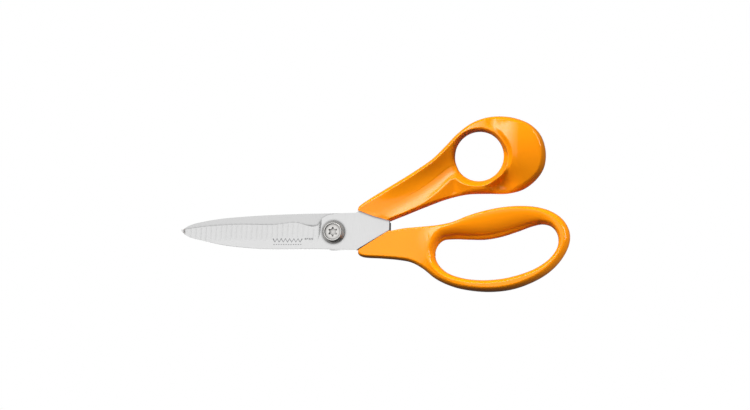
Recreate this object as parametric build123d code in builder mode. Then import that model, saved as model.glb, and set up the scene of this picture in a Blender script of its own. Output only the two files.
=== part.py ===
"""Pinking shears, lying on their back, closed.

Frame: millimetres, origin on the pivot axis at the pivot nut's flat outer face, +X from the pivot
towards the handles, +Y towards the thumb handle, +Z up through the blades, out of the front face.

The front blade carries the thumb handle and turns about the pivot. The rear blade carries the finger
handle, and the pivot hardware is fixed in it. The two blades mesh along concentric V-shaped teeth: each
blade stays on its own side of one surface of revolution about the pivot, so they clear at every angle.
"""

import os
from math import cos, radians, sin

from build123d import *

# Driving dimensions -------------------------------------------------------------------------------
MID_Z = 6.0  # height of the plane between the blades
BLADE_T = 2.8  # blade thickness
LAND_GAP = 0.16  # from the middle plane to each blade's flat land around the pivot
RELIEF = 1.0  # from the middle plane to each blade's relieved inner face

TOOTH_PITCH = 3.05
TOOTH_HEIGHT = 1.5  # from the bottom of a V to its top
TOOTH_PLAY = 0.16  # gap between meshed teeth, measured along Z
FIRST_CREST = 12.0  # radius of the crest nearest to the pivot
TEETH = 26
FLUTE_R = 3.5  # radius of the scalloped flutes on the outer face
FLUTE_DEPTH = 2.0  # depth of a flute at the cutting edge
FLUTE_RUN = 9.5  # distance over which a flute fades out

BOSS_R = 10.5  # round boss of each blade at the pivot
LAND_R = 10.8  # the flat land around the pivot, inside the first tooth
TANG_END_X = 33.0  # both tangs are cut square here, between the handles
SPINE_ROUND = 0.35  # rounding of the spines' outer edges

BUSH_R = 4.0
SHANK_R = 3.0
RUNNING_FIT = 0.05  # radial clearance of the front blade on its bush
AXIAL_FIT = 0.02
NECK_FLATS = 7.0  # across the flats of the nut's neck
HEAD_R = 6.75
HEAD_H = 3.4
HEAD_RIM_R = 5.4
RECESS_R = 4.7
RECESS_DEPTH = 1.2
SOCKET_R = 2.8  # six-lobe socket: tip radius, then the notches between the lobes
SOCKET_NOTCH_AT = 2.95
SOCKET_NOTCH_R = 1.0
SOCKET_DEPTH = 1.3
NUT_R = 6.4
NUT_FLANGE_H = 2.55
WASHER_R = 8.6
SPRING_T = 0.3

THUMB_HOLE = (85.0, 44.6)
THUMB_HOLE_R = 14.5
EDGE_ROUND = 2.0  # rounding of the handles' outer edges
HOLE_ROUND = 1.6  # rounding of the thumb hole's two rims

FRONT_FACE_Z = MID_Z + LAND_GAP + BLADE_T
REAR_FACE_Z = MID_Z - LAND_GAP - BLADE_T

# Outlines, (x, y) in the plane of the blades ------------------------------------------------------
TIP = (-91.3, 1.3)
CUTTING_EDGE = [  # of the front blade, from the tip to the boss: a bump, then a dip before the boss
    TIP, (-86, 2.1), (-80, 3.0), (-68, 4.1), (-52, 4.6), (-38, 4.4),
    (-30, 5.1), (-24, 5.7), (-18.5, 4.7), (-14, 3.6),
]
FRONT_SPINE = [(0, -10.2), (-30, -10.1), (-44, -9.9), (-56, -9.0), (-68, -7.4), (-80, -4.75), (-88, -2.1), TIP]
REAR_SPINE = [TIP, (-88, 3.7), (-80, 6.2), (-68, 8.2), (-56, 9.3), (-44, 10.1), (-30, 10.75), (-10, 11.3), (4, 11.4)]
REAR_EDGE = [  # of the rear blade, from the boss to the tip, behind the front blade
    (-14, -3.6), (-18.5, -4.6), (-24, -5.5), (-30, -4.9), (-38, -4.3),
    (-52, -4.4), (-68, -3.9), (-80, -2.6), (-86, -1.0), TIP,
]
FRONT_TANG = [  # from the front blade's top edge, through the thumb handle, to the finger handle's root
    (13.0, 11.4), (17.5, 13.9), (40.5, 27.0), (45.5, 18.4), (38, 13.2),
    (TANG_END_X, 9.2), (TANG_END_X, 1.25), (14.3, -9.95), (12.5, -10.3),
]
REAR_TANG = [  # from the rear blade's top edge, through the finger handle, to its lower edge
    (13.2, 11.35), (TANG_END_X, 5.85), (TANG_END_X, -1.4), (49, -1.6), (51.5, -4.0),
    (51.5, -10.0), (49, -12.4), (20, -12.2), (12.5, -10.0),
]
STRIP_EDGE = [  # where the meshing teeth end on the rear blade, along the front blade's cutting edge
    (1, 3.9), (-56, 3.9), (-70, 3.4), (-80, 2.3), (-86, 1.4), (-94, 0.2),
]
ANCHOR_HOLE_R = 2.2
FRONT_ANCHORS = [(29, 14.5), (38.5, 20.0)]  # the moulded handles grip the tangs through these holes
REAR_ANCHORS = [(30, -7), (43, -7)]

THUMB_OUTLINE = [  # from the root's top end, over the loop, to the root's lower corner
    (14.4, 15.0), (20, 19.2), (30, 25.4), (40, 31.4), (50, 37.7), (58, 43.4), (65, 50.3), (72, 57.7),
    (80, 63.8), (89, 67.3), (98, 68.2), (107, 66.7), (115, 63.2), (121, 56.9), (123.9, 47.5), (123, 38.2),
    (118.5, 31.1), (111, 25.4), (102, 23.0), (90, 22.8), (78, 22.3), (66, 19.5), (54, 15.0), (42, 10.1),
    (33.4, 6.7),
]
THUMB_ROOT = [(32.6, 6.6), (15.2, 11.55)]
THUMB_NOSE = (13.4, 13.1)
FINGER_OUTLINE = [  # from the root's upper corner, over the loop, to the root's lower end
    (34.2, 1.65), (42, 2.5), (52, 3.4), (62, 4.4), (70, 6.1), (80, 10.0), (90, 12.9), (100, 14.8), (110, 15.5),
    (120, 14.8), (128, 12.4), (134.5, 8.0), (138.3, 2.0), (139.1, -3.5), (137.6, -9.5), (133, -17.2),
    (126, -23.9), (117, -29.1), (106, -33.0), (94, -34.6), (82, -34.0), (71, -31.7), (61, -27.3),
    (53, -21.2), (46, -17.5), (38, -16.0), (28, -15.2), (17.0, -14.3),
]
FINGER_NOSE = (14.5, -12.6)
FINGER_ROOT = [(14.9, -10.2), (33.3, 0.85)]
FINGER_HOLE = [  # the narrowest outline of the finger hole, low in the loop
    (59.9, -13), (61, -8), (64.5, -4.5), (71, -3.7), (80, -3.9), (89, -3.9), (98, -2.4), (108, 0.7),
    (117, 3.9), (123, 4.9), (128.5, 3.2), (132, -1.5), (132.2, -8), (128, -14.8), (120, -20.6),
    (110, -24.6), (99, -27.1), (87, -27.8), (76, -26.5), (67, -23.2), (61.6, -18),
]
FINGER_RIM = [  # the same hole where it opens at the front: the fingers bear on the slope between them
    (56.6, -12.5), (57.8, -4.2), (62.4, 2.2), (70.5, 4.6), (80, 8.2), (89, 11.0), (98.5, 12.8), (108.5, 13.5),
    (118, 12.7), (125.4, 10.4), (131, 6.0), (133.9, 0.3), (133.4, -8.3), (128.6, -15.3), (120.4, -21.0),
    (110.2, -25.0), (99, -27.5), (87, -28.2), (75.5, -26.9), (65.5, -24.0), (59.2, -19.3),
]
FINGER_HOLE_Z = 3.0  # height of the narrowest outline
FINGER_RIM_Z = 14.0

# Side profiles of the handles, (x, z): thin at the root, thick at the loop
THUMB_TOP = [(10, 10.6), (40, 11.2), (56, 12.6), (68, 13.4)]
THUMB_RING_Z = 13.4
THUMB_CROWN = [(101, 13.4), (110, 15.2), (117, 15.4), (126, 13.6)]
FINGER_TOP = [(10, 10.6), (48, 10.8), (68, 12.6), (90, 13.6), (115, 13.6), (141, 12.0)]
ROOT_BACK_Z = 1.6
FLAT_BACK = (66.0, 118.0)  # the loops' backs are flat at z = 0 between these
DISH = [  # the thumb dish, from the root to the hole: distance from the pivot, height of its floor, radius
    (26, 10.6, 18.0), (50, 10.2, 22.0), (66, 9.0, 15.0), (86, 7.4, 12.0),
]
DISH_ANGLE = 27.6  # direction of the thumb handle's middle line


# Tools shared by the two blades -------------------------------------------------------------------
def tooth_line(side):
    """Points (radius, z) of the meshing line, moved off it by half the play to one side."""
    off = side * TOOTH_PLAY / 2
    points = [(LAND_R, MID_Z + off)]
    for i in range(2 * TEETH + 3):
        peak = TOOTH_HEIGHT / 2 if i % 2 == 0 else -TOOTH_HEIGHT / 2
        points.append((FIRST_CREST + i * TOOTH_PITCH / 2, MID_Z + peak + off))
    return points


def inner_cutter(side):
    """Everything on the far side of a blade's inner face: teeth outside the boss, the flat land within."""
    far_z = MID_Z - side * 2 * BLADE_T
    land_z = MID_Z + side * LAND_GAP
    teeth = tooth_line(side)
    profile = [(0, far_z), (0, land_z), (LAND_R, land_z), *teeth, (teeth[-1][0], far_z)]
    with BuildPart() as cutter:
        with BuildSketch(Plane(origin=(0, 0, 0), x_dir=(0, 1, 0), z_dir=(1, 0, 0))):
            with BuildLine():
                Polyline(*profile, close=True)
            make_face()
        revolve(axis=Axis.Z, revolution_arc=180)
        with BuildSketch(Plane.XY.offset(min(far_z, land_z))):
            with Locations((30, 15)):
                Rectangle(60, 120)
        extrude(amount=abs(far_z - land_z))
    return cutter.part


def relief_cutter(side):
    """The relieved inner face between the teeth and the spine, clear of the other blade's teeth."""
    with BuildPart() as cutter:
        with BuildSketch(Plane.XY.offset(MID_Z)):
            with BuildLine():
                strip = [(x, -side * y) for x, y in STRIP_EDGE]
                Polyline(*strip, (-94, -side * 14), (1, -side * 14), close=True)
            make_face()
            Circle(LAND_R, mode=Mode.SUBTRACT)
        extrude(amount=RELIEF, both=True)
    return cutter.part


def height_at(curve, x):
    """The y of a curve where it passes a given x, for a curve whose x runs one way."""
    low, high = 0.0, 1.0
    rising = curve.position_at(1).X > curve.position_at(0).X
    for _ in range(30):
        middle = (low + high) / 2
        if (curve.position_at(middle).X < x) == rising:
            low = middle
        else:
            high = middle
    return curve.position_at((low + high) / 2).Y


def flute_cutters(edge, side):
    """One tilted round groove for each tooth, deep at the cutting edge and fading out towards the spine."""
    slope = FLUTE_DEPTH / FLUTE_RUN
    face_z = MID_Z + side * (LAND_GAP + BLADE_T)
    tools = []
    for i in range(-1, TEETH - 1):
        x = -(FIRST_CREST + (i + 0.5) * TOOTH_PITCH)
        y = height_at(edge, x)
        bottom_z = face_z - side * FLUTE_DEPTH
        start = Vector(x, y, bottom_z + side * FLUTE_R)
        along = Vector(0, -side, side * slope)
        with BuildPart() as flute:
            with BuildSketch(Plane(origin=start - along * 4, x_dir=(1, 0, 0), z_dir=along)):
                Circle(FLUTE_R)
            extrude(amount=2.4 * FLUTE_RUN)
        tools.append(flute.part)
    return tools


def longest_edge(blade, z):
    """A blade's spine, the longest edge on the face at a height."""
    return blade.edges().filter_by_position(Axis.Z, z - 0.01, z + 0.01).sort_by(SortBy.LENGTH)[-1]


def on_boss(degrees):
    """A point on the boss circle."""
    return (BOSS_R * cos(radians(degrees)), BOSS_R * sin(radians(degrees)))


# Front blade --------------------------------------------------------------------------------------
front_inner = inner_cutter(1)
front_relief = relief_cutter(1)
front_edge = Spline(*CUTTING_EDGE, on_boss(156))
front_flutes = flute_cutters(front_edge, 1)

with BuildPart() as front_blade:
    with BuildSketch(Plane.XY.offset(MID_Z - TOOTH_HEIGHT)):
        with BuildLine():
            add(front_edge)
            RadiusArc(on_boss(156), on_boss(98), BOSS_R)
            Spline(on_boss(98), (9.0, 11.3), tangents=[(1, 0.14), (1, 0.01)])
            Polyline((9.0, 11.3), *FRONT_TANG, FRONT_SPINE[0])
            Spline(*FRONT_SPINE)
        make_face()
        with Locations(*FRONT_ANCHORS):
            Circle(ANCHOR_HOLE_R, mode=Mode.SUBTRACT)
        Circle(BUSH_R + RUNNING_FIT, mode=Mode.SUBTRACT)
    extrude(amount=FRONT_FACE_Z - MID_Z + TOOTH_HEIGHT)
    fillet(longest_edge(front_blade, FRONT_FACE_Z), SPINE_ROUND)
    add(front_inner, mode=Mode.SUBTRACT)
    add(front_relief, mode=Mode.SUBTRACT)
    for flute in front_flutes:
        add(flute, mode=Mode.SUBTRACT)
front_blade.part.label = "front_blade"

# Rear blade ---------------------------------------------------------------------------------------
rear_inner = inner_cutter(-1)
rear_relief = relief_cutter(-1)
rear_edge = Spline(on_boss(204), *REAR_EDGE)
rear_flutes = flute_cutters(rear_edge, -1)

with BuildPart() as rear_blade:
    with BuildSketch(Plane.XY.offset(REAR_FACE_Z)):
        with BuildLine():
            add(rear_edge)
            Spline(*REAR_SPINE)
            Polyline(REAR_SPINE[-1], *REAR_TANG, (6.0, -10.1))
            Spline((6.0, -10.1), on_boss(255), tangents=[(-1, 0), (-1, 0.27)])
            RadiusArc(on_boss(255), on_boss(204), BOSS_R)
        make_face()
        with Locations(*REAR_ANCHORS):
            Circle(ANCHOR_HOLE_R, mode=Mode.SUBTRACT)
        with BuildSketch(mode=Mode.PRIVATE) as neck_hole:
            Circle(BUSH_R)
            Rectangle(NECK_FLATS, 2 * BUSH_R, mode=Mode.INTERSECT)
        add(neck_hole.sketch, mode=Mode.SUBTRACT)
    extrude(amount=MID_Z + TOOTH_HEIGHT - REAR_FACE_Z)
    fillet(longest_edge(rear_blade, REAR_FACE_Z), SPINE_ROUND)
    add(rear_inner, mode=Mode.SUBTRACT)
    add(rear_relief, mode=Mode.SUBTRACT)
    for flute in rear_flutes:
        add(flute, mode=Mode.SUBTRACT)
rear_blade.part.label = "rear_blade"

def outer_edges(handle):
    """The long edges of a moulded handle that its outline runs along, root line and seams left out."""
    splines = handle.edges().filter_by(GeomType.BSPLINE)
    return splines.filter_by(lambda e: e.length > 6 and (e @ 0.5).X > 27)


# Thumb handle -------------------------------------------------------------------------------------
dish_line = Vector(cos(radians(DISH_ANGLE)), sin(radians(DISH_ANGLE)), 0)
with BuildPart() as dish:
    for distance, floor_z, radius in DISH:
        with BuildSketch(Plane(origin=dish_line * distance, x_dir=(0, 0, 1), z_dir=dish_line)):
            with Locations((floor_z + radius, 0)):
                Circle(radius)
    loft()

with BuildPart() as thumb_handle:
    with BuildSketch(Plane.XY):
        with BuildLine():
            Spline(*THUMB_OUTLINE)
            Polyline(THUMB_OUTLINE[-1], *THUMB_ROOT)
            ThreePointArc(THUMB_ROOT[-1], THUMB_NOSE, THUMB_OUTLINE[0])
        make_face()
    extrude(amount=20)
    with BuildSketch(Plane.XZ.offset(-80)):
        with BuildLine():
            Spline(*THUMB_TOP, tangents=[(1, 0), (1, 0)])
            Line(THUMB_TOP[-1], THUMB_CROWN[0])
            Spline(*THUMB_CROWN, tangents=[(1, 0), (1, -0.4)])
            Line(THUMB_CROWN[-1], (126, 1.5))
            Spline((126, 1.5), (FLAT_BACK[1] - 6, 0), tangents=[(-1, -0.3), (-1, 0)])
            Line((FLAT_BACK[1] - 6, 0), (FLAT_BACK[0], 0))
            Spline((FLAT_BACK[0], 0), (42, ROOT_BACK_Z), tangents=[(-1, 0), (-1, 0)])
            Polyline((42, ROOT_BACK_Z), (10, ROOT_BACK_Z), THUMB_TOP[0])
        make_face()
    extrude(amount=80, mode=Mode.INTERSECT)
    fillet(outer_edges(thumb_handle), EDGE_ROUND)
    with BuildSketch(Plane.XY):
        with Locations(THUMB_HOLE):
            Circle(THUMB_HOLE_R)
    extrude(amount=20, mode=Mode.SUBTRACT)
    fillet(thumb_handle.edges().filter_by(GeomType.CIRCLE).filter_by(lambda e: e.length > 80), HOLE_ROUND)
    add(dish.part, mode=Mode.SUBTRACT)
    add(front_blade.part, mode=Mode.SUBTRACT)
thumb_handle.part.label = "thumb_handle"

# Finger handle ------------------------------------------------------------------------------------
with BuildPart() as finger_slope:
    for outline, z in ((FINGER_HOLE, FINGER_HOLE_Z), (FINGER_RIM, FINGER_RIM_Z)):
        with BuildSketch(Plane.XY.offset(z)):
            with BuildLine():
                Spline(*outline, periodic=True)
            make_face()
    loft()
    with BuildSketch(Plane.XY.offset(-1)):
        with BuildLine():
            Spline(*FINGER_HOLE, periodic=True)
        make_face()
    extrude(amount=FINGER_HOLE_Z + 1)

with BuildPart() as finger_handle:
    with BuildSketch(Plane.XY):
        with BuildLine():
            Spline(*FINGER_OUTLINE)
            ThreePointArc(FINGER_OUTLINE[-1], FINGER_NOSE, FINGER_ROOT[0])
            Polyline(*FINGER_ROOT, FINGER_OUTLINE[0])
        make_face()
    extrude(amount=20)
    with BuildSketch(Plane.XZ.offset(-40)):
        with BuildLine():
            Spline(*FINGER_TOP, tangents=[(1, 0), (1, -0.15)])
            Line(FINGER_TOP[-1], (141, 1.2))
            Spline((141, 1.2), (FLAT_BACK[1], 0), tangents=[(-1, -0.1), (-1, 0)])
            Line((FLAT_BACK[1], 0), (FLAT_BACK[0], 0))
            Spline((FLAT_BACK[0], 0), (42, ROOT_BACK_Z), tangents=[(-1, 0), (-1, 0)])
            Polyline((42, ROOT_BACK_Z), (10, ROOT_BACK_Z), FINGER_TOP[0])
        make_face()
    extrude(amount=80, mode=Mode.INTERSECT)
    fillet(outer_edges(finger_handle), EDGE_ROUND)
    add(finger_slope.part, mode=Mode.SUBTRACT)
    add(rear_blade.part, mode=Mode.SUBTRACT)
finger_handle.part.label = "finger_handle"

# Pivot hardware -----------------------------------------------------------------------------------
rear_land_z = MID_Z - LAND_GAP
head_z = FRONT_FACE_Z + AXIAL_FIT
rim_z = head_z + HEAD_H

with BuildPart() as slip_washer:
    with BuildSketch(Plane.XY.offset(rear_land_z)):
        Circle(WASHER_R)
        Circle(BUSH_R + RUNNING_FIT, mode=Mode.SUBTRACT)
    extrude(amount=2 * LAND_GAP - 2 * AXIAL_FIT)
slip_washer.part.label = "slip_washer"

with BuildPart() as pivot_bush:
    with BuildSketch(Plane.XY.offset(rear_land_z)):
        Circle(BUSH_R)
        Circle(SHANK_R, mode=Mode.SUBTRACT)
    extrude(amount=head_z - rear_land_z)
pivot_bush.part.label = "pivot_bush"

with BuildPart() as pivot_screw:
    with BuildSketch(Plane.XZ):
        with BuildLine():
            Polyline(
                (0, 0), (SHANK_R - 0.4, 0), (SHANK_R, 0.4), (SHANK_R, head_z),
                (HEAD_R - 0.2, head_z), (HEAD_R, head_z + 0.2), (HEAD_R, head_z + 0.9),
                (HEAD_RIM_R, rim_z - 0.15), (HEAD_RIM_R - 0.2, rim_z), (RECESS_R + 0.1, rim_z),
                (RECESS_R, rim_z - 0.1), (RECESS_R, rim_z - RECESS_DEPTH), (0, rim_z - RECESS_DEPTH), close=True,
            )
        make_face()
    revolve(axis=Axis.Z)
    with BuildSketch(Plane.XY.offset(rim_z - RECESS_DEPTH)):
        Circle(SOCKET_R)
        with PolarLocations(SOCKET_NOTCH_AT, 6):
            Circle(SOCKET_NOTCH_R, mode=Mode.SUBTRACT)
    extrude(amount=-SOCKET_DEPTH, mode=Mode.SUBTRACT)
pivot_screw.part.label = "pivot_screw"

with BuildPart() as pivot_nut:
    with BuildSketch(Plane.XY):
        Circle(NUT_R)
    extrude(amount=NUT_FLANGE_H)
    chamfer(pivot_nut.edges().filter_by(GeomType.CIRCLE), 0.4)
    with BuildSketch(Plane.XY.offset(NUT_FLANGE_H)):
        Circle(BUSH_R)
        Rectangle(NECK_FLATS, 2 * BUSH_R, mode=Mode.INTERSECT)
    extrude(amount=rear_land_z - NUT_FLANGE_H)
    with BuildSketch(Plane.XY):
        Circle(SHANK_R)
    extrude(amount=rear_land_z, mode=Mode.SUBTRACT)
pivot_nut.part.label = "pivot_nut"

with BuildPart() as spring_washer:
    with BuildSketch(Plane.XZ):
        with BuildLine():
            Polyline(
                (BUSH_R + 0.3, REAR_FACE_Z), (BUSH_R + 0.3, REAR_FACE_Z - SPRING_T),
                (NUT_R - 0.7, NUT_FLANGE_H), (NUT_R - 0.7, NUT_FLANGE_H + SPRING_T), close=True,
            )
        make_face()
    revolve(axis=Axis.Z)
spring_washer.part.label = "spring_washer"

os.makedirs("parts", exist_ok=True)
pieces = (
    front_blade, rear_blade, thumb_handle, finger_handle,
    slip_washer, pivot_bush, pivot_screw, pivot_nut, spring_washer,
)
for piece in pieces:
    export_step(piece.part, f"parts/{piece.part.label}.step")
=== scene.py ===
import math

import bpy
import numpy as np
from mathutils import Matrix, Vector

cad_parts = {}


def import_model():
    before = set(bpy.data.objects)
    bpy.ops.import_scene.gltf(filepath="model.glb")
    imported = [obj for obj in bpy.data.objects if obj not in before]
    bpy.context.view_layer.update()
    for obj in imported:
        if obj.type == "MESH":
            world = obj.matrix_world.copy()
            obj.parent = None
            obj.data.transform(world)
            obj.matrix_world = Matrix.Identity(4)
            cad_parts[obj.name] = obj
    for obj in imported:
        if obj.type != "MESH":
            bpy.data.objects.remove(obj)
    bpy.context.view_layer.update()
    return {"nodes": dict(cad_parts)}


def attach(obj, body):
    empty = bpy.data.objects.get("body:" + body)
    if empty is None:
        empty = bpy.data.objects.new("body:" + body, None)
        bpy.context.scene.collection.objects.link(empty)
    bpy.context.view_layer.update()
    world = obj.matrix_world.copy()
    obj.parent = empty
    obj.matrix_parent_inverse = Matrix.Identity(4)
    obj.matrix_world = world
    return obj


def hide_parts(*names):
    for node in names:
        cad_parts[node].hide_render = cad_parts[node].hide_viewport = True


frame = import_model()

MM = 0.001


# Materials ------------------------------------------------------------------------------------------

BUMP_DEPTH = 0.00001  # metres
AO_SAMPLES = 8


def material(name):
    mat = bpy.data.materials.new(name)
    mat.use_nodes = True
    tree = mat.node_tree
    shader = tree.nodes["Principled BSDF"]
    return mat, tree, shader


def node(tree, kind, **values):
    made = tree.nodes.new(kind)
    for key, value in values.items():
        if key in made.inputs:
            made.inputs[key].default_value = value
        else:
            setattr(made, key, value)
    return made


def link(tree, a, b):
    tree.links.new(a, b)


def ramp(tree, factor, stops):
    made = tree.nodes.new("ShaderNodeValToRGB")
    while len(made.color_ramp.elements) < len(stops):
        made.color_ramp.elements.new(0.5)
    for element, (position, colour) in zip(made.color_ramp.elements, stops):
        element.position = position
        element.color = (*colour, 1.0) if len(colour) == 3 else colour
    link(tree, factor, made.inputs["Fac"])
    return made.outputs["Color"]


def map_range(tree, value, lo, hi):
    made = node(tree, "ShaderNodeMapRange")
    made.inputs["To Min"].default_value = lo
    made.inputs["To Max"].default_value = hi
    link(tree, value, made.inputs["Value"])
    return made.outputs["Result"]


def position(tree, scale):
    coords = node(tree, "ShaderNodeTexCoord")
    mapping = node(tree, "ShaderNodeMapping")
    mapping.inputs["Scale"].default_value = scale
    link(tree, coords.outputs["Object"], mapping.inputs["Vector"])
    return mapping.outputs["Vector"]


def noise(tree, scale, detail):
    """Noise whose grain is set by a scale for each axis, in cells per metre."""
    made = node(tree, "ShaderNodeTexNoise", Scale=1.0, Detail=detail)
    link(tree, position(tree, scale), made.inputs["Vector"])
    return made.outputs["Fac"]


def bump(tree, height, strength):
    made = node(tree, "ShaderNodeBump", Distance=BUMP_DEPTH, Strength=strength)
    link(tree, height, made.inputs["Height"])
    return made.outputs["Normal"]


def tinted(tree, factor, colour, shade):
    """A colour that dips to a darker shade of itself where the factor is low."""
    return ramp(tree, factor, [(0.3, tuple(shade * c for c in colour)), (0.7, colour)])


def painted_crevice_shade(tree, colour, reach, darkest):
    """Painted shade: darkens a colour where another surface stands close by, in crevices and gaps."""
    crevice = node(tree, "ShaderNodeAmbientOcclusion", Distance=reach)
    crevice.samples = AO_SAMPLES
    shade = ramp(tree, crevice.outputs["AO"], [(0.35, (darkest,) * 3), (0.95, (1.0, 1.0, 1.0))])
    mix = node(tree, "ShaderNodeMix", data_type="RGBA", blend_type="MULTIPLY")
    mix.inputs[0].default_value = 1.0
    link(tree, colour, mix.inputs[6])
    link(tree, shade, mix.inputs[7])
    return mix.outputs[2]


def steel(name, grain, tone, rough, anisotropy=0.4, reach=0.0015, darkest=0.25):
    """Steel with a fine grain, drawn out along one axis where its scale is small, and painted shade in its
    crevices.
    """
    mat, tree, shader = material(name)
    scratches = noise(tree, grain, 6.0)
    cloud = noise(tree, (60, 60, 60), 2.0)
    colour = tinted(tree, scratches, tone, 0.93)
    # painted shade where another surface stands close by
    link(tree, painted_crevice_shade(tree, colour, reach, darkest), shader.inputs["Base Color"])
    shader.inputs["Metallic"].default_value = 1.0
    mixed = node(tree, "ShaderNodeMath", operation="MULTIPLY")
    link(tree, map_range(tree, scratches, 0.85, 1.15), mixed.inputs[0])
    link(tree, map_range(tree, cloud, rough * 0.85, rough * 1.15), mixed.inputs[1])
    link(tree, mixed.outputs[0], shader.inputs["Roughness"])
    shader.inputs["Anisotropic"].default_value = anisotropy
    link(tree, bump(tree, scratches, 0.5), shader.inputs["Normal"])
    return mat


def gloss_plastic(name, colour):
    """Injection-moulded gloss plastic with a faint orange peel and a slightly uneven tint."""
    mat, tree, shader = material(name)
    cloud = noise(tree, (40, 40, 40), 2.0)
    link(tree, tinted(tree, cloud, colour, 0.93), shader.inputs["Base Color"])
    peel = noise(tree, (900, 900, 900), 2.0)
    link(tree, map_range(tree, peel, 0.10, 0.16), shader.inputs["Roughness"])
    shader.inputs["IOR"].default_value = 1.5
    shader.inputs["Specular IOR Level"].default_value = 0.35
    link(tree, bump(tree, peel, 0.06), shader.inputs["Normal"])
    return mat


def matt_plastic(name, colour):
    """Matt plastic or paint with an uneven tint."""
    mat, tree, shader = material(name)
    cloud = noise(tree, (300, 300, 300), 3.0)
    link(tree, tinted(tree, cloud, colour, 0.9), shader.inputs["Base Color"])
    link(tree, map_range(tree, cloud, 0.45, 0.6), shader.inputs["Roughness"])
    return mat


GROUND_GRAIN = (4000, 150, 4000)
# both blade steels carry painted shade where the blades lie close, such as the dark line along the toothed
# edge
blade_steel = steel("blade_steel", GROUND_GRAIN, (0.57, 0.57, 0.57), 0.36)
inner_steel = steel("inner_steel", GROUND_GRAIN, (0.51, 0.51, 0.51), 0.38)
# darker and wider painted shade, in the screw's recess and round its head
pivot_steel = steel(
    "pivot_steel", (900, 900, 900), (0.5, 0.49, 0.475), 0.22, anisotropy=0.0, reach=0.0025, darkest=0.1
)
orange = gloss_plastic("orange_plastic", (0.98, 0.285, 0.002))
washer_plastic = matt_plastic("washer_plastic", (0.8, 0.8, 0.78))

nodes = frame["nodes"]
for node_name, node_material in {
    "front_blade": blade_steel, "rear_blade": inner_steel, "thumb_handle": orange, "finger_handle": orange,
    "pivot_screw": pivot_steel, "pivot_bush": pivot_steel, "pivot_nut": pivot_steel,
    "spring_washer": pivot_steel, "slip_washer": washer_plastic,
}.items():
    nodes[node_name].data.materials.clear()
    nodes[node_name].data.materials.append(node_material)


# Curves in the plane, in millimetres ----------------------------------------------------------------

PATH_STEP = 0.4
SPLINE_SAMPLES = 40  # on each stretch between two given points
BATCH = 1500  # points measured at one time, to spare memory
TINY = 1e-6  # keeps a share of two distances defined where both are zero


def smooth_path(points, closed=False):
    """A smooth curve through points, sampled evenly by length."""
    p = np.array(points, float)
    if closed:
        p = np.vstack([p[-1], p, p[:2]])
    else:
        p = np.vstack([2 * p[0] - p[1], p, 2 * p[-1] - p[-2]])
    knots = np.concatenate([[0], np.cumsum(np.sqrt(np.linalg.norm(np.diff(p, axis=0), axis=1)))])
    samples = []
    for i in range(1, len(p) - 2):
        t0, t1, t2, t3 = knots[i - 1:i + 3]
        t = np.linspace(t1, t2, SPLINE_SAMPLES, endpoint=False)[:, None]
        a1 = (t1 - t) / (t1 - t0) * p[i - 1] + (t - t0) / (t1 - t0) * p[i]
        a2 = (t2 - t) / (t2 - t1) * p[i] + (t - t1) / (t2 - t1) * p[i + 1]
        a3 = (t3 - t) / (t3 - t2) * p[i + 1] + (t - t2) / (t3 - t2) * p[i + 2]
        b1 = (t2 - t) / (t2 - t0) * a1 + (t - t0) / (t2 - t0) * a2
        b2 = (t3 - t) / (t3 - t1) * a2 + (t - t1) / (t3 - t1) * a3
        samples.append((t2 - t) / (t2 - t1) * b1 + (t - t1) / (t2 - t1) * b2)
    samples.append(p[-2][None] if not closed else p[1][None])
    return resample(np.vstack(samples))


def lengths(path):
    return np.concatenate([[0], np.cumsum(np.linalg.norm(np.diff(path, axis=0), axis=1))])


def resample(path):
    total = lengths(path)[-1]
    return at_length(path, np.linspace(0, total, max(2, int(round(total / PATH_STEP)) + 1)))


def at_length(path, s):
    along = lengths(path)
    return np.stack([np.interp(s, along, path[:, 0]), np.interp(s, along, path[:, 1])], axis=1)


def nearest(points, path):
    """Distance to a path and the length along it, for each point."""
    best = np.full(len(points), 1e9)
    where = np.zeros(len(points))
    along = lengths(path)
    a, b = path[:-1], path[1:]
    ab = b - a
    size = (ab ** 2).sum(1)
    for start in range(0, len(points), BATCH):
        part = points[start:start + BATCH]
        rel = part[:, None, :] - a[None]
        t = np.clip((rel * ab[None]).sum(2) / size[None], 0, 1)
        gap = rel - t[..., None] * ab[None]
        d = np.sqrt((gap ** 2).sum(2))
        k = d.argmin(1)
        rows = np.arange(len(part))
        best[start:start + BATCH] = d[rows, k]
        where[start:start + BATCH] = along[k] + t[rows, k] * (along[k + 1] - along[k])
    return best, where


ALONG_STEP = 0.25  # mm between the samples that along_path averages
ALONG_SAMPLES = 41  # how many of them go into one average


def along_path(path, anchors, where, closed=False):
    """A value that changes smoothly along a path, given at anchors (x, y, value), read at lengths."""
    spots = nearest(np.array([a[:2] for a in anchors], float), path)[1]
    values = np.array([a[2] for a in anchors], float)
    order = np.argsort(spots)
    spots, values = spots[order], values[order]
    total = lengths(path)[-1]
    if closed:
        spots = np.concatenate([spots - total, spots, spots + total])
        values = np.tile(values, 3)
    grid = np.arange(-total if closed else 0, 2 * total if closed else total, ALONG_STEP)
    line = np.interp(grid, spots, values)
    kernel = np.hanning(ALONG_SAMPLES)
    kernel /= kernel.sum()
    half = len(kernel) // 2
    return np.interp(where, grid, np.convolve(np.pad(line, half, mode="edge"), kernel, mode="valid"))


def spot_on(path, x, y):
    """The length along a path at its nearest point to (x, y)."""
    return nearest(np.array([[x, y]], float), path)[1][0]


def smoothstep(t):
    t = np.clip(t, 0, 1)
    return t * t * (3 - 2 * t)


SOFT_STEP = 0.1  # mm between the samples that soft_interp averages
SOFT_MARGIN = 4  # widths by which they go past both ends


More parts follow.
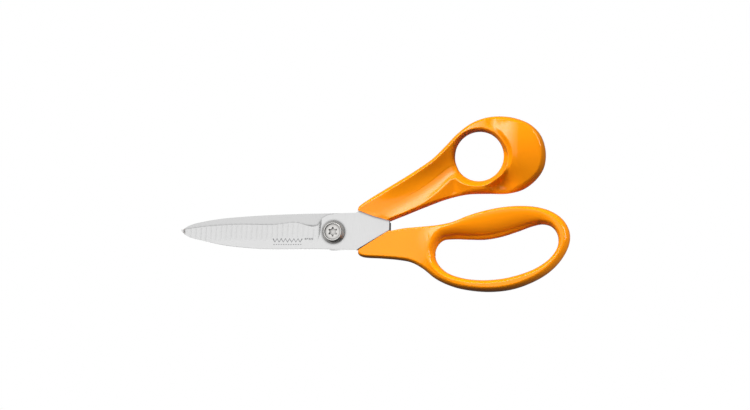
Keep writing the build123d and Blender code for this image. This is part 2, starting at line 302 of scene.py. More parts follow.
def soft_interp(q, xs, ys, width=5.0):
    """Linear interpolation with its corners rounded off over a width."""
    grid = np.arange(xs[0] - SOFT_MARGIN * width, xs[-1] + SOFT_MARGIN * width, SOFT_STEP)
    kernel = np.hanning(int(width / SOFT_STEP) * 2 + 1)
    kernel /= kernel.sum()
    line = np.interp(grid, xs, ys)
    half = len(kernel) // 2
    return np.interp(q, grid, np.convolve(np.pad(line, half, mode="edge"), kernel, mode="valid"))


def roll(t):
    """Quarter-round: 0 with an upright tangent at t = 0, 1 and level from t = 1."""
    return (1 - (1 - np.clip(t, 0, 1)) ** 2.0) ** (1 / 2.0)


def share(value, other, d_value, d_other):
    """A value near one edge that turns into the other value near the other edge."""
    return value + (other - value) * (d_value / (d_value + d_other + TINY))


# Handles --------------------------------------------------------------------------------------------

ACROSS = 71
FINE = 0.5 - 0.5 * np.cos(np.linspace(0, math.pi, ACROSS))  # shares of the width, closest at both edges
COLUMN_STEP = 0.55
HOLE_DENSITY = 1.6  # columns round the hole stand this much closer
ROOT_LEVELS = 8


def handle_grid(outer, hole, neck, ties):
    """Columns of points from the hole and the neck's middle line (v = 0) out to the outline (v = 1).

    ties pairs lengths on the inner path (neck out, round the hole, neck back) with lengths on the outline.
    """
    neck_length = lengths(neck)[-1]
    hole_length = lengths(hole)[-1]
    neck_s = np.linspace(0, neck_length, int(neck_length / COLUMN_STEP) + 1)
    hole_s = np.linspace(0, hole_length, int(hole_length / COLUMN_STEP * HOLE_DENSITY) + 1)
    inner = np.vstack([at_length(neck, neck_s), at_length(hole, hole_s)[1:-1], at_length(neck, neck_s[::-1])])
    s_inner = np.concatenate([neck_s, neck_length + hole_s[1:-1], neck_length + hole_length + neck_s])
    tie_inner = np.array([t[0] for t in ties])
    tie_outer = np.array([t[1] for t in ties])
    s_outer = monotone(tie_inner, tie_outer, s_inner)
    edge = at_length(outer, s_outer)
    v = FINE[None, :, None]
    return inner[:, None] * (1 - v) + edge[:, None] * v, len(neck_s)


def monotone(x, y, q):
    """Monotone cubic through (x, y), read at q."""
    h = np.diff(x)
    slope = np.diff(y) / h
    m = np.zeros(len(x))
    m[0], m[-1] = slope[0], slope[-1]
    for i in range(1, len(x) - 1):
        if slope[i - 1] * slope[i] > 0:
            w1, w2 = 2 * h[i] + h[i - 1], h[i] + 2 * h[i - 1]
            m[i] = (w1 + w2) / (w1 / slope[i - 1] + w2 / slope[i])
    k = np.clip(np.searchsorted(x, q, side="right") - 1, 0, len(x) - 2)
    t = (q - x[k]) / h[k]
    return (
        y[k] * (1 + 2 * t) * (1 - t) ** 2 + m[k] * h[k] * t * (1 - t) ** 2
        + y[k + 1] * t * t * (3 - 2 * t) + m[k + 1] * h[k] * t * t * (t - 1)
    )


EVENED_COLUMNS = 7  # columns that go into one average


def evened(z, neck_count):
    """Heights averaged over a few neighbouring columns, and equal on both sides of the neck's middle line."""
    kernel = np.hanning(EVENED_COLUMNS + 2)[1:-1]
    kernel /= kernel.sum()
    half = EVENED_COLUMNS // 2
    padded = np.pad(z, ((half, half), (0, 0)), mode="edge")
    z = sum(weight * padded[i:i + len(z)] for i, weight in enumerate(kernel))
    middle = (z[:neck_count, 0] + z[::-1][:neck_count, 0]) / 2
    z[:neck_count, 0] = middle
    z[::-1][:neck_count, 0] = middle
    return z


def handle_mesh(name, grid, neck_count, front_z, back_z, mat):
    """Front and back sheets over one grid, joined at the outline, round the hole and at the root."""
    columns, rows = grid.shape[:2]
    flat = grid.reshape(-1, 2)
    front = evened(front_z(flat).reshape(columns, rows), neck_count)
    back = evened(back_z(flat).reshape(columns, rows), neck_count)
    round_hole = slice(neck_count - 1, columns - neck_count + 1)
    back[:, -1] = front[:, -1]  # the sheets meet along the outline
    back[round_hole, 0] = front[round_hole, 0]  # and round the hole
    verts, faces, index = [], [], {}

    def vertex(x, y, z):
        key = (round(x, 5), round(y, 5), round(z, 5))
        if key not in index:
            index[key] = len(verts)
            verts.append((x * MM, y * MM, z * MM))
        return index[key]

    def face(*corners):
        """A face from corners given clockwise as seen from outside, less the corners that coincide."""
        ring = [c for i, c in enumerate(corners) if c != corners[i - 1]]
        if len(set(ring)) == len(ring) and len(ring) >= 3:
            faces.append(ring[::-1])

    front_ids = [[vertex(*grid[i, j], front[i, j]) for j in range(rows)] for i in range(columns)]
    back_ids = [[vertex(*grid[i, j], back[i, j]) for j in range(rows)] for i in range(columns)]
    for i in range(columns - 1):
        for j in range(rows - 1):
            face(front_ids[i][j], front_ids[i][j + 1], front_ids[i + 1][j + 1], front_ids[i + 1][j])
            face(back_ids[i + 1][j], back_ids[i + 1][j + 1], back_ids[i][j + 1], back_ids[i][j])
    for i in (0, columns - 1):
        wall = []
        for j in range(rows):
            drop = back[i, j] - front[i, j]
            heights = [front[i, j] + drop * k / ROOT_LEVELS for k in range(ROOT_LEVELS + 1)]
            wall.append([vertex(*grid[i, j], z) for z in heights])
        for j in range(rows - 1):
            for k in range(ROOT_LEVELS):
                ring = (wall[j][k], wall[j][k + 1], wall[j + 1][k + 1], wall[j + 1][k])
                face(*(ring if i == 0 else ring[::-1]))
    mesh = bpy.data.meshes.new(name)
    mesh.from_pydata(verts, [], faces)
    mesh.validate()
    mesh.polygons.foreach_set("use_smooth", [True] * len(mesh.polygons))
    mesh.set_sharp_from_angle(angle=math.radians(50))
    mesh.materials.append(mat)
    mesh.update()
    obj = bpy.data.objects.new(name, mesh)
    bpy.context.scene.collection.objects.link(obj)
    return obj


# Thumb handle

THUMB_OUTLINE = [
    (13.9, 12.9), (14.5, 15.0), (20, 19.2), (30, 25.4), (40, 31.4), (50, 37.7), (58, 43.4), (65, 50.3),
    (72, 57.7), (80, 63.8), (89, 67.3), (98, 68.1), (107, 66.7), (115, 63.2), (121, 56.9),
    (123.9, 47.5), (123, 38.2), (118.5, 31.1), (111, 25.4), (102, 23.0), (90, 22.8), (78, 22.3),
    (66, 19.5), (54, 15.0), (42, 10.1), (33.4, 6.7),
]
THUMB_HOLE = (85.0, 44.6)
THUMB_HOLE_R = 14.5
THUMB_NECK = [(24.0, 9.2), (40, 20.6), (56, 29.2), (72.15, 37.9)]
THUMB_LIP = [
    (76.8, 58.3), (82.8, 60.8), (87.4, 61.1), (91.4, 60.0), (95.5, 57.7), (99.1, 53.9), (101.9, 49.3),
    (102.9, 44.7), (102.6, 40.2), (101.3, 36.1), (98.6, 32.6), (94.5, 29.4), (90.4, 27.3), (85.3, 26.4),
    (79.5, 27.0), (75.0, 28.6), (70.5, 31.0), (66.5, 28.0), (62.0, 23.4), (57.5, 19.8), (53.5, 17.0),
]

thumb_outer = smooth_path(THUMB_OUTLINE)
NECK_ANGLE = 27.6  # degrees from +X to the neck's direction
angles = np.linspace(math.radians(180 + NECK_ANGLE), math.radians(180 + NECK_ANGLE - 360), 400)
thumb_hole = np.array(THUMB_HOLE) + THUMB_HOLE_R * np.stack([np.cos(angles), np.sin(angles)], axis=1)
thumb_neck = smooth_path(THUMB_NECK)


def shifted(path, gap, keep):
    """The part of a path that keep allows, moved sideways by a gap (to the right of its direction)."""
    direction = np.gradient(path, axis=0)
    direction /= np.linalg.norm(direction, axis=1)[:, None]
    moved = path + gap * np.stack([direction[:, 1], -direction[:, 0]], axis=1)
    return moved[keep(path[:, 0], path[:, 1])]


def thumb_ties():
    def out(x, y):
        return spot_on(thumb_outer, x, y)

    n = lengths(thumb_neck)[-1]
    h = lengths(thumb_hole)[-1]
    total = lengths(thumb_outer)[-1]
    return [
        (0, 0), (n * 0.30, out(27.5, 23.8)), (n * 0.65, out(47, 35.7)), (n, out(66, 51.4)),
        (n + h * 0.13, out(76, 61.0)), (n + h * 0.27, out(87.5, 66.9)), (n + h * 0.38, out(104, 67.4)),
        (n + h * 0.50, out(120.5, 57.6)), (n + h * 0.60, out(123.6, 41)), (n + h * 0.71, out(110, 25)),
        (n + h * 0.82, out(93, 22.8)), (n + h * 0.92, out(81, 22.6)), (n + h, out(71.5, 21.1)),
        (n + h + n * 0.35, out(55, 15.4)), (n + h + n * 0.70, out(41.5, 9.9)), (n + h + n, total),
    ]


thumb_grid, thumb_neck_count = handle_grid(thumb_outer, thumb_hole, thumb_neck, thumb_ties())

# the ridge round the dish: along the upper edge, round the hole by the lip, back along the lower edge
LAP = 15  # points dropped from each edge where the lip takes over
top_ridge = shifted(thumb_outer, 2.4, lambda x, y: (y > 12.5 + 0.35 * (x - 13)) & (x < 74))
bottom_ridge = shifted(thumb_outer, 1.3, lambda x, y: (y < 12 + 0.2 * (x - 13)) & (x < 50))
thumb_lip = smooth_path([tuple(top_ridge[-LAP])] + THUMB_LIP + [tuple(bottom_ridge[LAP])])
thumb_ridge = resample(np.vstack([top_ridge[:-LAP], thumb_lip, bottom_ridge[LAP:]]))


def inside(points, ring):
    """True for points inside a closed ring."""
    result = np.zeros(len(points), bool)
    a, b = ring, np.roll(ring, -1, axis=0)
    for (ax, ay), (bx, by) in zip(a, b):
        if ay == by:
            continue
        crosses = (ay > points[:, 1]) != (by > points[:, 1])
        result ^= crosses & (points[:, 0] < (bx - ax) * (points[:, 1] - ay) / (by - ay) + ax)
    return result


THUMB_SIDE = [  # (x, y, height of the middle of the edge) round the outline
    (14, 13.5, 6.2), (60, 45, 6.4), (92, 67.8, 6.0), (121, 56.9, 5.5), (105, 23.5, 5.0), (80, 22.4, 6.0),
    (33.4, 6.7, 6.2),
]
THUMB_EDGE = [  # (x, y, how far in the front edge is rounded)
    (14, 13.5, 1.6), (20, 19.2, 2.2), (40, 31.4, 2.4), (60, 45, 2.4), (72, 57.7, 2.4), (80, 63.8, 2.0),
    (92, 67.8, 2.0), (107, 66.7, 2.6), (121, 56.9, 2.3), (123.9, 47.5, 2.1), (118.5, 31.1, 2.3),
    (105, 23.5, 3.6), (90, 22.8, 2.8), (80, 22.4, 2.0), (66, 19.5, 1.4), (42, 10.1, 1.3), (33.4, 6.7, 1.3),
]
THUMB_HOLE_SIDE = 6.4
THUMB_HOLE_FROM = 60  # length along the neck from which the hole's edge counts
LOWER_RIDGE_S = [14, 28, 45, 60, 66, 72, 77, 80, 84, 89, 100]
LOWER_RIDGE_Z = [10.6, 10.6, 10.8, 10.8, 10.4, 9.8, 9.6, 10.7, 12.1, 12.6, 12.7]
DISH_S = [14, 26, 34, 44, 54, 62, 72, 80, 90]
DISH_DEPTH = [0, 0.1, 0.6, 1.6, 2.6, 3.5, 4.6, 5.0, 5.2]
FLARE_AT = [0, 45, 90, 150, 200, 220, 240, 260, 290, 330, 360]  # degrees round the thumb hole
FLARE = [3.0, 2.0, 1.4, 1.6, 2.4, 3.2, 3.6, 3.4, 3.4, 3.4, 3.0]  # how far the hole's edge is rounded
TOP_SHARE = 0.55  # the part of the ridge that belongs to the upper edge and the ring
RIDGE_ROOT_Z = 10.6
RIDGE_RISE = 2.1
RIDGE_SOFT = 0.6  # how far in the dish's edge is softened
BULB_X, BULB_Y, BULB_TOP = 106.5, 49, 15.2
BULB_SHOULDER = 3.5  # distance past BULB_X at which the steady fall to the tip begins
BULB_FOOT = 6.4
HOLLOW_X, HOLLOW_Y, HOLLOW_DEPTH = 100, 28, 5.0
THUMB_BACK_EDGE = 3.0


def thumb_place(p):
    """For each point: distances to outline and hole, lengths along neck and outline, height of the edge."""
    x, y = p[:, 0], p[:, 1]
    d_out, s_out = nearest(p, thumb_outer)
    d_hole = np.abs(np.hypot(x - THUMB_HOLE[0], y - THUMB_HOLE[1]) - THUMB_HOLE_R)
    s = x * math.cos(math.radians(NECK_ANGLE)) + y * math.sin(math.radians(NECK_ANGLE))
    side = along_path(thumb_outer, THUMB_SIDE, s_out)
    return d_out, d_hole, s, s_out, share(side, THUMB_HOLE_SIDE, d_out, d_hole)


def bulb(x, y):
    """The bulb past the ring: a dome that falls off all round, hollowed below the ring."""
    past = np.clip(x - BULB_X, 0, None)
    beyond = past - BULB_SHOULDER
    dome = BULB_TOP - 0.0105 * np.clip(BULB_X - x, 0, None) ** 2
    dome -= np.where(past < BULB_SHOULDER, 0.03 * past ** 2, 0.3675 + 0.21 * beyond + 0.003 * beyond ** 2)
    dome -= np.where(y < BULB_Y, 0.007, 0.0105) * (y - BULB_Y) ** 2
    dome -= HOLLOW_DEPTH * np.exp(-(((x - HOLLOW_X) / 9.5) ** 2 + ((y - HOLLOW_Y) / 8.5) ** 2))
    return np.maximum(dome, BULB_FOOT)


def thumb_front(p):
    x, y = p[:, 0], p[:, 1]
    d_out, d_hole, s, s_out, mixed = thumb_place(p)
    d_ridge, _ = nearest(p, thumb_ridge)
    within = inside(p, thumb_ridge)
    # height of the upper and the lower ridge: low at the root, level round the hole
    top = RIDGE_ROOT_Z + RIDGE_RISE * smoothstep((s - 28) / 45)
    bottom = soft_interp(s, LOWER_RIDGE_S, LOWER_RIDGE_Z, 2.0)
    split = int(len(thumb_ridge) * TOP_SHARE)
    d_top, _ = nearest(p, thumb_ridge[:split])
    d_bottom, _ = nearest(p, thumb_ridge[split:])
    crest = np.where(d_top < d_bottom, top, bottom)
    # the dish between the two ridges, its floor nearer to the lower one
    tau = d_top / (d_top + d_bottom + TINY)
    low = soft_interp(s, [14, 60, 72, 90], [0.6, 0.6, 0.66, 0.66])
    floor_z = np.minimum(top - soft_interp(s, DISH_S, DISH_DEPTH), bottom)
    rise = np.clip((tau - low) / (1 - low), 0, 1)
    fall = np.clip(1 - tau / low, 0, 1)
    dish = floor_z + (top - floor_z) * fall ** 2 + (bottom - floor_z) * rise ** 2
    soft = d_ridge / (d_ridge + RIDGE_SOFT)
    dish = crest + (dish - crest) * soft
    # outside the ridge: a band that leans down to the edge and turns into the bulb past the ring
    band = crest - np.where(y > 45, 0.2, 0.28) * np.minimum(d_ridge, 6.0) * smoothstep((s - 26) / 8)
    merge = 2.3 + 0.9 * smoothstep((y - 36) / 10)
    outside = band + (bulb(x, y) - band) * smoothstep((x - 88.5) / 9) * smoothstep(d_ridge / merge)
    level = np.where(within, dish, outside)
    radius = along_path(thumb_outer, THUMB_EDGE, s_out)
    bearing = np.degrees(np.arctan2(y - THUMB_HOLE[1], x - THUMB_HOLE[0])) % 360
    hole_edge = np.where(s < THUMB_HOLE_FROM, 1, roll(d_hole / np.interp(bearing, FLARE_AT, FLARE)))
    return mixed + (level - mixed) * roll(d_out / radius) * hole_edge


def back_level(x):
    """Height of a handle's back: raised near the blades, down on the table from the handle's middle on."""
    return 1.6 * (1 - smoothstep((x - 40) / 26))


def thumb_back(p):
    d_out, d_hole, s, _, mixed = thumb_place(p)
    hole_edge = np.where(s < THUMB_HOLE_FROM, 1, roll(d_hole / THUMB_BACK_EDGE))
    return mixed + (back_level(p[:, 0]) - mixed) * roll(d_out / THUMB_BACK_EDGE) * hole_edge


thumb = handle_mesh("thumb_handle_moulding", thumb_grid, thumb_neck_count, thumb_front, thumb_back, orange)
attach(thumb, "thumb_half")
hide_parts("thumb_handle")


# Finger handle

FINGER_OUTLINE = [
    (33.6, 1.0), (42, 2.5), (52, 3.4), (62, 4.4), (70, 6.1), (80, 10.0), (90, 12.9), (100, 14.8),
    (110, 15.5), (120, 14.8), (128, 12.4), (134.5, 8.0), (138.3, 2.0), (139.1, -3.5), (137.6, -9.5),
    (133, -17.2), (126, -23.9), (117, -29.1), (106, -33.0), (94, -34.55), (82, -33.95), (71, -31.7),
    (61, -27.3), (53, -21.2), (46, -17.5), (38, -16.0), (28, -15.2), (17.0, -14.3), (14.7, -12.8),
    (14.6, -11.0),
]
FINGER_HOLE = [
    (59.9, -13), (61, -8), (64.5, -4.5), (71, -3.7), (80, -3.9), (89, -3.9), (98, -2.4), (108, 0.7),
    (117, 3.9), (123, 4.9), (128.5, 3.2), (132, -1.5), (132.2, -8), (128, -14.8), (120, -20.6),
    (110, -24.6), (99, -27.1), (87, -27.8), (76, -26.5), (67, -23.2), (61.6, -18),
]
FINGER_NECK = [(23.9, -4.9), (36, -6.6), (48, -9.2), (59.9, -13)]
FINGER_RIM = [
    (56.6, -12.5), (57.8, -4.2), (62.4, 1.4), (70.5, 4.2), (80, 8.0), (89, 11.0), (98.5, 12.9),
    (108.5, 13.6), (118, 12.9), (125.4, 10.8), (131.4, 6.0), (134.3, 0.3), (133.8, -8.3),
    (129.0, -15.3), (120.6, -21.2), (110.4, -25.3), (99, -27.8), (87, -28.6), (75.5, -27.4),
    (65.0, -24.4), (58.4, -19.3),
]

finger_outer = smooth_path(FINGER_OUTLINE)
finger_hole = smooth_path(FINGER_HOLE, closed=True)
finger_neck = smooth_path(FINGER_NECK)
finger_rim = smooth_path(FINGER_RIM, closed=True)


def finger_ties():
    def out(x, y):
        return spot_on(finger_outer, x, y)

    def hole(x, y):
        return spot_on(finger_hole, x, y)

    n = lengths(finger_neck)[-1]
    h = lengths(finger_hole)[-1]
    total = lengths(finger_outer)[-1]
    return [
        (0, 0), (n * 0.5, out(43.5, 2.7)), (n, out(55, 3.7)), (n + hole(61, -8), out(59.5, 4.1)),
        (n + hole(65, -4.3), out(65.5, 5.0)), (n + hole(80, -3.9), out(78.5, 9.4)),
        (n + hole(98, -2.4), out(94.5, 13.9)), (n + hole(117, 3.9), out(113.5, 15.5)),
        (n + hole(124, 4.9), out(125.5, 13.4)), (n + hole(132, -1.5), out(138.6, 1.0)),
        (n + hole(132.2, -8), out(138, -8.5)), (n + hole(120, -20.6), out(123.5, -25.5)),
        (n + hole(99, -27.1), out(101, -33.9)), (n + hole(76, -26.5), out(73.5, -32.4)),
        (n + hole(64, -21), out(59, -26)), (n + h, out(52.5, -20.8)), (n + h + n * 0.5, out(41, -16.3)),
        (n + h + n, total),
    ]


finger_grid, finger_neck_count = handle_grid(finger_outer, finger_hole, finger_neck, finger_ties())

FINGER_SIDE = [  # (x, y, height of the middle of the edge) round the outline, then round the hole
    (33.6, 1.0, 6.0), (60, 4.2, 6.6), (100, 14.8, 7.0), (134, 8.5, 6.6), (126, -23.9, 6.0), (94, -34.6, 6.0),
    (60, -26.6, 6.2), (40, -16.2, 6.0), (14.7, -12.8, 6.0),
]
FINGER_HOLE_SIDE = [
    (59.9, -13, 5.5), (61, -8, 4.6), (71, -3.7, 4.0), (98, -2.4, 4.0), (117, 3.9, 4.6), (131, 0.5, 6.5),
    (128, -14.8, 6.5), (99, -27.1, 6.5), (76, -26.5, 6.5), (64, -21.5, 6.2),
]
FINGER_EDGE = [  # (x, y, how far in the front edge is rounded) round the outline, then round the hole
    (33.6, 1.0, 0.9), (50, 3.2, 1.2), (70, 6.1, 1.6), (100, 14.8, 2.0), (134, 8.5, 2.8), (139.1, -3.5, 2.8),
    (126, -23.9, 2.6), (94, -34.6, 2.6), (60, -26.6, 2.6), (46, -17.5, 2.0), (30, -15.3, 1.6),
    (14.7, -12.8, 1.4),
]
FINGER_HOLE_EDGE = [
    (59.9, -13, 3.6), (61, -8, 3.2), (71, -3.7, 2.4), (89, -3.9, 2.6), (108, 0.7, 2.6), (120, 4.5, 2.6),
    (131, 0.5, 2.6), (128, -14.8, 2.6), (99, -27.1, 2.6), (76, -26.5, 2.8), (64, -21.5, 3.4),
]
FINGER_WALL = [  # (x, y, width of the wall between the hole and the foot of the finger rest)
    (59.9, -13, 0.0), (61, -8, 0.6), (71, -3.7, 2.1), (89, -3.9, 2.4), (108, 0.7, 2.2), (120, 4.5, 1.2),
    (131, 0.5, 0.3), (128, -14.8, 0.2), (99, -27.1, 0.2), (76, -26.5, 0.2), (64, -21.5, 0.1),
]
FINGER_REST_DEPTH = [  # (x, y, how far the finger rest falls from the rim to its foot)
    (59.9, -13, 3.5), (61, -8, 5.0), (66, -4.2, 6.0), (80, -3.9, 6.6), (98, -2.4, 6.2), (113, 2.5, 4.8),
    (124, 4.9, 2.4), (131, 0.5, 0.4), (128, -14.8, 0), (99, -27.1, 0), (76, -26.5, 0.1), (64, -21.5, 1.2),
]
FINGER_HOLE_FROM = 45  # x from which the hole's edge counts
FINGER_BACK_EDGE = 2.8
RIM_BLEND = 8.5  # distance from the rim over which its height turns into that of the outer edge
BEAD = 0.14
RIM_X = [55, 74, 90, 115, 128, 141]
RIM_Z = [12.7, 13.0, 13.4, 13.4, 12.9, 12.2]
BASE_X = [10, 34, 50, 66, 80, 90, 115, 128, 141]
BASE_Z = [10.6, 10.7, 10.9, 11.6, 12.9, 13.4, 13.4, 12.9, 12.2]


def finger_place(p):
    """For each point: distance to the outline and to the hole, lengths along both, mid height of the edge."""
    d_out, s_out = nearest(p, finger_outer)
    d_hole, s_hole = nearest(p, finger_hole)
    side = along_path(finger_outer, FINGER_SIDE, s_out)
    hole_side = along_path(finger_hole, FINGER_HOLE_SIDE, s_hole, closed=True)
    return d_out, d_hole, s_out, s_hole, share(side, hole_side, d_out, d_hole)


def finger_front(p):
    x = p[:, 0]
    d_out, d_hole, s_out, s_hole, mixed = finger_place(p)
    d_rim, _ = nearest(p, finger_rim)
    within = inside(p, finger_rim)
    rim = soft_interp(x, RIM_X, RIM_Z)
    base = soft_interp(x, BASE_X, BASE_Z)
    crest = np.where(within, rim, base + (rim - base) * (1 - np.clip(d_rim / RIM_BLEND, 0, 1)) ** 2)
    # inside the rim the finger rest slopes down to the wall of the hole, with a faint bead at its foot
    wall = along_path(finger_hole, FINGER_WALL, s_hole, closed=True)
    depth = along_path(finger_hole, FINGER_REST_DEPTH, s_hole, closed=True)
    reach = np.clip(d_hole - wall, 0, None)
    tau = d_rim / (d_rim + reach + TINY)
    slope = crest - depth * (1 - (1 - np.where(within, tau, 0) ** 2.0) ** 0.6)
    slope += BEAD * np.exp(-((d_hole - wall) / 0.5) ** 2) * smoothstep((wall - 1) / 1.0) * within
    radius_hole = along_path(finger_hole, FINGER_HOLE_EDGE, s_hole, closed=True)
    radius = along_path(finger_outer, FINGER_EDGE, s_out)
    hole_edge = np.where(x < FINGER_HOLE_FROM, 1, roll(d_hole / radius_hole))
    return mixed + (slope - mixed) * roll(d_out / radius) * hole_edge


def finger_back(p):
    x = p[:, 0]
    d_out, d_hole, _, _, mixed = finger_place(p)
    hole_edge = np.where(x < FINGER_HOLE_FROM, 1, roll(d_hole / FINGER_BACK_EDGE))
    return mixed + (back_level(x) - mixed) * roll(d_out / FINGER_BACK_EDGE) * hole_edge


finger = handle_mesh(
    "finger_handle_moulding", finger_grid, finger_neck_count, finger_front, finger_back, orange
)
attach(finger, "finger_half")
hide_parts("finger_handle")


# Mark on the front blade: a plain zigzag and two rows of dashes

MARK_Z = (8.94, 8.975)  # sunk in the blade's face at 8.96 and barely proud of it
ZIGZAG_WIDTH = 0.55
DASH_WIDTH = 0.4
DASH = 0.7


def strip(points, width):
    """A thin raised line along points, as corner points and quads."""
    p = np.array(points, float)
    direction = np.gradient(p, axis=0)
    direction /= np.linalg.norm(direction, axis=1)[:, None]
    out = np.stack([-direction[:, 1], direction[:, 0]], axis=1) * width / 2
    left, right = p + out, p - out
    verts = [(*corner, z) for edge in (left, right) for corner in edge for z in MARK_Z]
    n = 2 * len(p)
    faces = [(0, 1, n + 1, n), (n - 2, 2 * n - 2, 2 * n - 1, n - 1)]
    for i in range(0, n - 2, 2):
        faces += [(i + 1, i + 3, n + i + 3, n + i + 1), (i, n + i, n + i + 2, i + 2)]
        faces += [(i, i + 2, i + 3, i + 1), (n + i, n + i + 1, n + i + 3, n + i + 2)]
    return verts, [quad[::-1] for quad in faces]


def blade_mark():
    turns = [(-36 + 17.5 * i / 14, -3.9 - 2.0 * (i % 2)) for i in range(15)]
    lines = [(turns, ZIGZAG_WIDTH)]
    for count, first, pitch, y in ((4, -16.9, 1.25, -3.9), (12, -35.6, 1.45, -7.3)):
        for i in range(count):
            x = first + pitch * i
            lines.append(([(x, y), (x + DASH, y)], DASH_WIDTH))
    verts, faces = [], []
    for points, width in lines:
        more, quads = strip(points, width)
        faces += [tuple(len(verts) + i for i in quad) for quad in quads]
        verts += [tuple(c * MM for c in v) for v in more]
    mesh = bpy.data.meshes.new("blade_mark")
    mesh.from_pydata(verts, [], faces)
    mesh.validate()
    mesh.materials.append(etched)
    obj = bpy.data.objects.new("blade_mark", mesh)
    bpy.context.scene.collection.objects.link(obj)
    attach(obj, "thumb_half")
    return obj


etched = matt_plastic("etched_mark", (0.14, 0.14, 0.15))
mark = blade_mark()


# Stage, in metres -----------------------------------------------------------------------------------

FLOOR_HALF = 3.0
FLOOR_DROP = 0.0004  # keeps the floor clear of the handles' backs
WHITE = (1, 1, 1, 1)


def floor():
    """A plain floor: an even white glow to the camera, dim where it is mirrored, grey to other light."""
    mesh = bpy.data.meshes.new("floor")
    corners = [(x * FLOOR_HALF, y * FLOOR_HALF, 0) for x, y in ((-1, -1), (1, -1), (1, 1), (-1, 1))]
    mesh.from_pydata(corners, [], [(0, 1, 2, 3)])
    obj = bpy.data.objects.new("floor", mesh)
    obj.location = (0, 0, -FLOOR_DROP)
    bpy.context.scene.collection.objects.link(obj)
    mat, tree, shader = material("floor")
    cloud = noise(tree, (8, 8, 8), 2.0)
    grey = ramp(tree, cloud, [(0.3, (0.12, 0.12, 0.12)), (0.7, (0.13, 0.13, 0.13))])
    link(tree, grey, shader.inputs["Base Color"])
    shader.inputs["Roughness"].default_value = 0.9
    path = node(tree, "ShaderNodeLightPath")
    last = shader.outputs[0]
    for ray, strength in (("Is Glossy Ray", 0.08), ("Is Camera Ray", 1.0)):
        glow = node(tree, "ShaderNodeEmission", Color=WHITE, Strength=strength)
        mix = node(tree, "ShaderNodeMixShader")
        link(tree, path.outputs[ray], mix.inputs[0])
        link(tree, last, mix.inputs[1])
        link(tree, glow.outputs[0], mix.inputs[2])
        last = mix.outputs[0]
    link(tree, last, tree.nodes["Material Output"].inputs["Surface"])
    mesh.materials.append(mat)


def softbox(name, centre, target, width, height, power):
    """A rectangular panel that faces a target, with its power in watts."""
    data = bpy.data.lights.new(name, "AREA")
    data.shape = "RECTANGLE"
    data.size = width
    data.size_y = height
    data.energy = power
    obj = bpy.data.objects.new(name, data)
    obj.location = centre
    direction = Vector(target) - Vector(centre)
    obj.rotation_euler = direction.to_track_quat("-Z", "Y").to_euler()
    bpy.context.scene.collection.objects.link(obj)
    return obj


def light_only(name, objects, lights):
    """Limits the lights to the objects: they light nothing else."""
    group = bpy.data.collections.new(name)
    for obj in objects:
        group.objects.link(obj)
    for light in lights:
        light.light_linking.receiver_collection = group


def world(low, high, mirrored):
    """Soft light all round, stronger from the far side (+Y), dimmer where a gloss surface mirrors it."""
    made = bpy.data.worlds.new("studio")
    bpy.context.scene.world = made
    made.use_nodes = True
    tree = made.node_tree
    coords = node(tree, "ShaderNodeTexCoord")
    split = node(tree, "ShaderNodeSeparateXYZ")
    link(tree, coords.outputs["Generated"], split.inputs[0])
    across = node(tree, "ShaderNodeMapRange")
    across.inputs["From Min"].default_value = -0.5
    across.inputs["From Max"].default_value = 0.5
    across.inputs["To Min"].default_value = low
    across.inputs["To Max"].default_value = high
    link(tree, split.outputs["Y"], across.inputs["Value"])
    tree.nodes["Background"].inputs["Color"].default_value = WHITE
    link(tree, across.outputs["Result"], tree.nodes["Background"].inputs["Strength"])
    dim = node(tree, "ShaderNodeBackground", Color=WHITE, Strength=mirrored)
    path = node(tree, "ShaderNodeLightPath")
    mix = node(tree, "ShaderNodeMixShader")
    link(tree, path.outputs["Is Glossy Ray"], mix.inputs[0])
    link(tree, tree.nodes["Background"].outputs[0], mix.inputs[1])
    link(tree, dim.outputs[0], mix.inputs[2])
    link(tree, mix.outputs[0], tree.nodes["World Output"].inputs["Surface"])


TILT_X, TILT_Y = 0.185, -0.11  # the camera's sideways offsets for each unit of its height
SENSOR = 36.0
LENS = 250.0
VIEW_WIDTH = 0.438  # width of the view at its centre
VIEW_CENTRE = Vector((0.0238, 0.01623, 0.006))


def camera():
    """A long lens above the shears, tilted a little to the right and to the near side."""
    data = bpy.data.cameras.new("camera")
    data.lens = LENS
    data.sensor_width = SENSOR
    data.clip_start = 0.01
    data.clip_end = 20
    back = Vector((TILT_X, TILT_Y, 1)).normalized()
    up = Vector((0, back.z, -back.y)).normalized()
    right = up.cross(back)
    turn = Matrix((right, up, back)).transposed().to_4x4()
    obj = bpy.data.objects.new("camera", data)
    obj.matrix_world = Matrix.Translation(VIEW_CENTRE + back * (VIEW_WIDTH * LENS / SENSOR)) @ turn
    bpy.context.scene.collection.objects.link(obj)
    bpy.context.scene.camera = obj


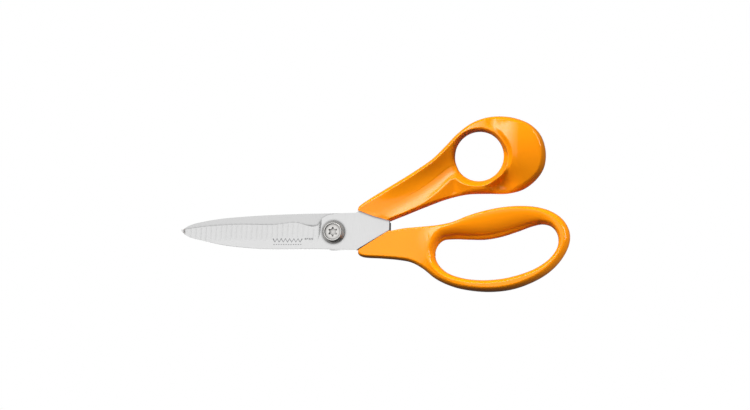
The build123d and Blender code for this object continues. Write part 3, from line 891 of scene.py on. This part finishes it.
KEY_CORNER = (-0.95, 1.0)  # far left corner that the key's nested panels share, seen from above
KEY_STEPS = [(0.2, -0.05, 1.1), (0.0, 0.16, 1.1), (-0.12, 0.32, 2.2), (-0.25, 0.46, 3.0)]
KEY_HEIGHT = 1.0
KEY_GAP = 0.01


def key_panels():
    """Nested panels above the shears, given by their near right corners and radiance: brightest far left."""
    left, far = KEY_CORNER
    panels = []
    for i, (right, near, radiance) in enumerate(KEY_STEPS):
        high = KEY_HEIGHT + KEY_GAP * i
        width, depth = right - left, far - near
        centre = ((right + left) / 2 * high, (near + far) / 2 * high)
        power = math.pi * width * depth * high * high * radiance
        panels.append(softbox("key_%d" % i, (*centre, high), (*centre, 0), width * high, depth * high, power))
    return panels


def lights():
    """Each light falls on one group of pieces alone."""
    key = key_panels()
    fill = softbox("fill", (-0.9, 1.9, 1.1), (0, 0, 0), 1.2, 1.2, 45)
    fill.visible_glossy = False
    side = softbox("side", (1.9, 0.6, 0.6), (0.1, 0, 0), 1.4, 1.2, 34)
    rim = softbox("rim", (1.6, 1.2, 0.16), (0.1, 0.04, 0), 1.2, 0.28, 16)
    tent = softbox("tent", (-0.6, 0.7, 1.0), (-0.6, 0.7, 0), 6.6, 3.0, 83)
    low = softbox("low", (-0.5, -1.5, 0.4), (0, 0, 0), 3.0, 1.2, 10)
    # lies on the floor and lights the blades from below
    card = softbox("card", (-0.07, 0, -FLOOR_DROP / 2), (-0.07, 0, 1), 0.2, 0.16, 0.147)
    card.visible_camera = False
    head = softbox("head", (-0.9, 0.9, 1.0), (-0.9, 0.9, 0), 2.2, 2.2, 25)
    back = softbox("back", (0.1, 1.7, 1.1), (0, 0, 0), 2.6, 1.1, 30)
    pivot = ("pivot_screw", "pivot_bush", "pivot_nut", "spring_washer", "slip_washer")
    light_only("blades", [nodes["front_blade"], nodes["rear_blade"], mark], [tent, low, card])
    light_only("pivot", [nodes[name] for name in pivot], [head, back])
    light_only("finger", [finger], [side])
    light_only("thumb", [thumb], [rim])
    light_only("plastic", [thumb, finger], [*key, fill])


floor()
lights()
world(0.04, 0.6, 0.06)
camera()
bpy.context.scene.view_settings.view_transform = "Standard"
